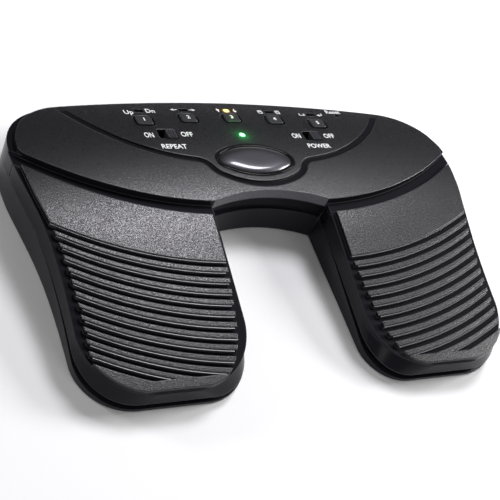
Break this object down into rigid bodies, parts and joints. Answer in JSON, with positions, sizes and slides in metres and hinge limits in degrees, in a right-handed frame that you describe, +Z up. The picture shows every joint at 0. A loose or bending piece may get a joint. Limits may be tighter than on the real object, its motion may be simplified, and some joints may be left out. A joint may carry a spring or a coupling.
{
  "type": "page turner pedal",
  "caption": "Two-pedal page turner foot controller: a low wedge housing with a notched front, ribbed hinged pedals, mode buttons, indicator lights and slide switches on the rear cover",
  "frame": {"origin": "centre of the bounding box in plan, at the height of the feet's undersides", "axes": "+X to the user's right, +Y to the rear away from the user, +Z up"},
  "size_m": [0.232, 0.1572, 0.0289],
  "materials": {
    "base_plastic": "fine satin moulding texture",
    "cover_plastic": "fine even moulding grain",
    "pedal_plastic": "coarse stippled grain on the tread, satin on the skirt",
    "badge_rim": "smooth black rim",
    "badge_dome": "clear coated glossy dome",
    "circuit_board": "green solder mask",
    "chip_black": "moulded epoxy",
    "screw_steel": "zinc plated",
    "switch_body": "moulded black nylon",
    "light_green": "clear light pipe, lit green",
    "light_amber": "clear light pipe, lit amber",
    "light_window": "smoked clear light pipe",
    "knob_plastic": "ridged top",
    "battery_wrap": "smooth foil pouch",
    "socket_steel": "pressed shell",
    "foot_rubber": "fine matt",
    "buffer_rubber": "moulded silicone",
    "plunger_plastic": "natural nylon",
    "button_rubber": "matt moulded silicone"
  },
  "bodies": {
    "housing": {"base_housing": "base_plastic", "rear_cover": "cover_plastic", "badge_ring": "badge_rim", "badge_plate": "badge_dome", "main_board": "circuit_board", "board_components": "chip_black", "board_screws": "screw_steel", "panel_switches": "switch_body", "slide_switches": "switch_body", "power_light": "light_green", "battery": "battery_wrap", "charging_socket": "socket_steel", "base_screws": "screw_steel", "rubber_feet": "foot_rubber", "left_hinge_pin": "screw_steel", "left_return_buffer": "buffer_rubber", "left_switch_board": "circuit_board", "left_pedal_switch": "switch_body", "right_hinge_pin": "screw_steel", "right_return_buffer": "buffer_rubber", "right_switch_board": "circuit_board", "right_pedal_switch": "switch_body", "mode_light_1": "light_window", "mode_light_2": "light_window", "mode_light_3": "light_amber", "mode_light_4": "light_window", "mode_light_5": "light_window"},
    "left_pedal_body": {"left_pedal": "pedal_plastic"},
    "right_pedal_body": {"right_pedal": "pedal_plastic"},
    "left_plunger_body": {"left_switch_plunger": "plunger_plastic"},
    "right_plunger_body": {"right_switch_plunger": "plunger_plastic"},
    "repeat_knob_body": {"repeat_switch_knob": "knob_plastic"},
    "power_knob_body": {"power_switch_knob": "knob_plastic"},
    "reset_body": {"reset_button": "knob_plastic"},
    "mode_button_1_body": {"mode_button_1": "button_rubber"},
    "mode_button_2_body": {"mode_button_2": "button_rubber"},
    "mode_button_3_body": {"mode_button_3": "button_rubber"},
    "mode_button_4_body": {"mode_button_4": "button_rubber"},
    "mode_button_5_body": {"mode_button_5": "button_rubber"}
  },
  "joints": [
    {"name": "left_pedal_hinge", "type": "hinge", "parent": "housing", "child": "left_pedal_body", "pos_m": [-0.07, 0.004, 0.015], "axis": [1, 0, 0], "range_deg": [0, 2.1], "stiffness_Nm_per_rad": 4, "springref_deg": -1.72, "deforming": ["left_return_buffer"]},
    {"name": "right_pedal_hinge", "type": "hinge", "parent": "housing", "child": "right_pedal_body", "pos_m": [0.07, 0.004, 0.015], "axis": [1, 0, 0], "range_deg": [0, 2.1], "stiffness_Nm_per_rad": 4, "springref_deg": -1.72, "deforming": ["right_return_buffer"]},
    {"name": "left_plunger_slide", "type": "slide", "parent": "housing", "child": "left_plunger_body", "axis": [0, 0, -1], "range_m": [0, 0.0007]},
    {"name": "right_plunger_slide", "type": "slide", "parent": "housing", "child": "right_plunger_body", "axis": [0, 0, -1], "range_m": [0, 0.0007]},
    {"name": "mode_button_1_press", "type": "slide", "parent": "housing", "child": "mode_button_1_body", "axis": [0, -0.2047, -0.9788], "range_m": [0, 0.0005], "stiffness_N_per_m": 500, "springref_m": -0.001},
    {"name": "mode_button_2_press", "type": "slide", "parent": "housing", "child": "mode_button_2_body", "axis": [0, -0.2047, -0.9788], "range_m": [0, 0.0005], "stiffness_N_per_m": 500, "springref_m": -0.001},
    {"name": "mode_button_3_press", "type": "slide", "parent": "housing", "child": "mode_button_3_body", "axis": [0, -0.2047, -0.9788], "range_m": [0, 0.0005], "stiffness_N_per_m": 500, "springref_m": -0.001},
    {"name": "mode_button_4_press", "type": "slide", "parent": "housing", "child": "mode_button_4_body", "axis": [0, -0.2047, -0.9788], "range_m": [0, 0.0005], "stiffness_N_per_m": 500, "springref_m": -0.001},
    {"name": "mode_button_5_press", "type": "slide", "parent": "housing", "child": "mode_button_5_body", "axis": [0, -0.2047, -0.9788], "range_m": [0, 0.0005], "stiffness_N_per_m": 500, "springref_m": -0.001},
    {"name": "reset_press", "type": "slide", "parent": "housing", "child": "reset_body", "axis": [0, -0.2047, -0.9788], "range_m": [0, 0.00025], "stiffness_N_per_m": 500, "springref_m": -0.001},
    {"name": "repeat_switch_slide", "type": "slide", "parent": "housing", "child": "repeat_knob_body", "axis": [-1, 0, 0], "range_m": [0, 0.004]},
    {"name": "power_switch_slide", "type": "slide", "parent": "housing", "child": "power_knob_body", "axis": [-1, 0, 0], "range_m": [0, 0.004]}
  ],
  "couplings": [
    {"joint": "left_plunger_slide", "follows": "left_pedal_hinge", "m_per_rad": 0.018},
    {"joint": "right_plunger_slide", "follows": "right_pedal_hinge", "m_per_rad": 0.018}
  ]
}
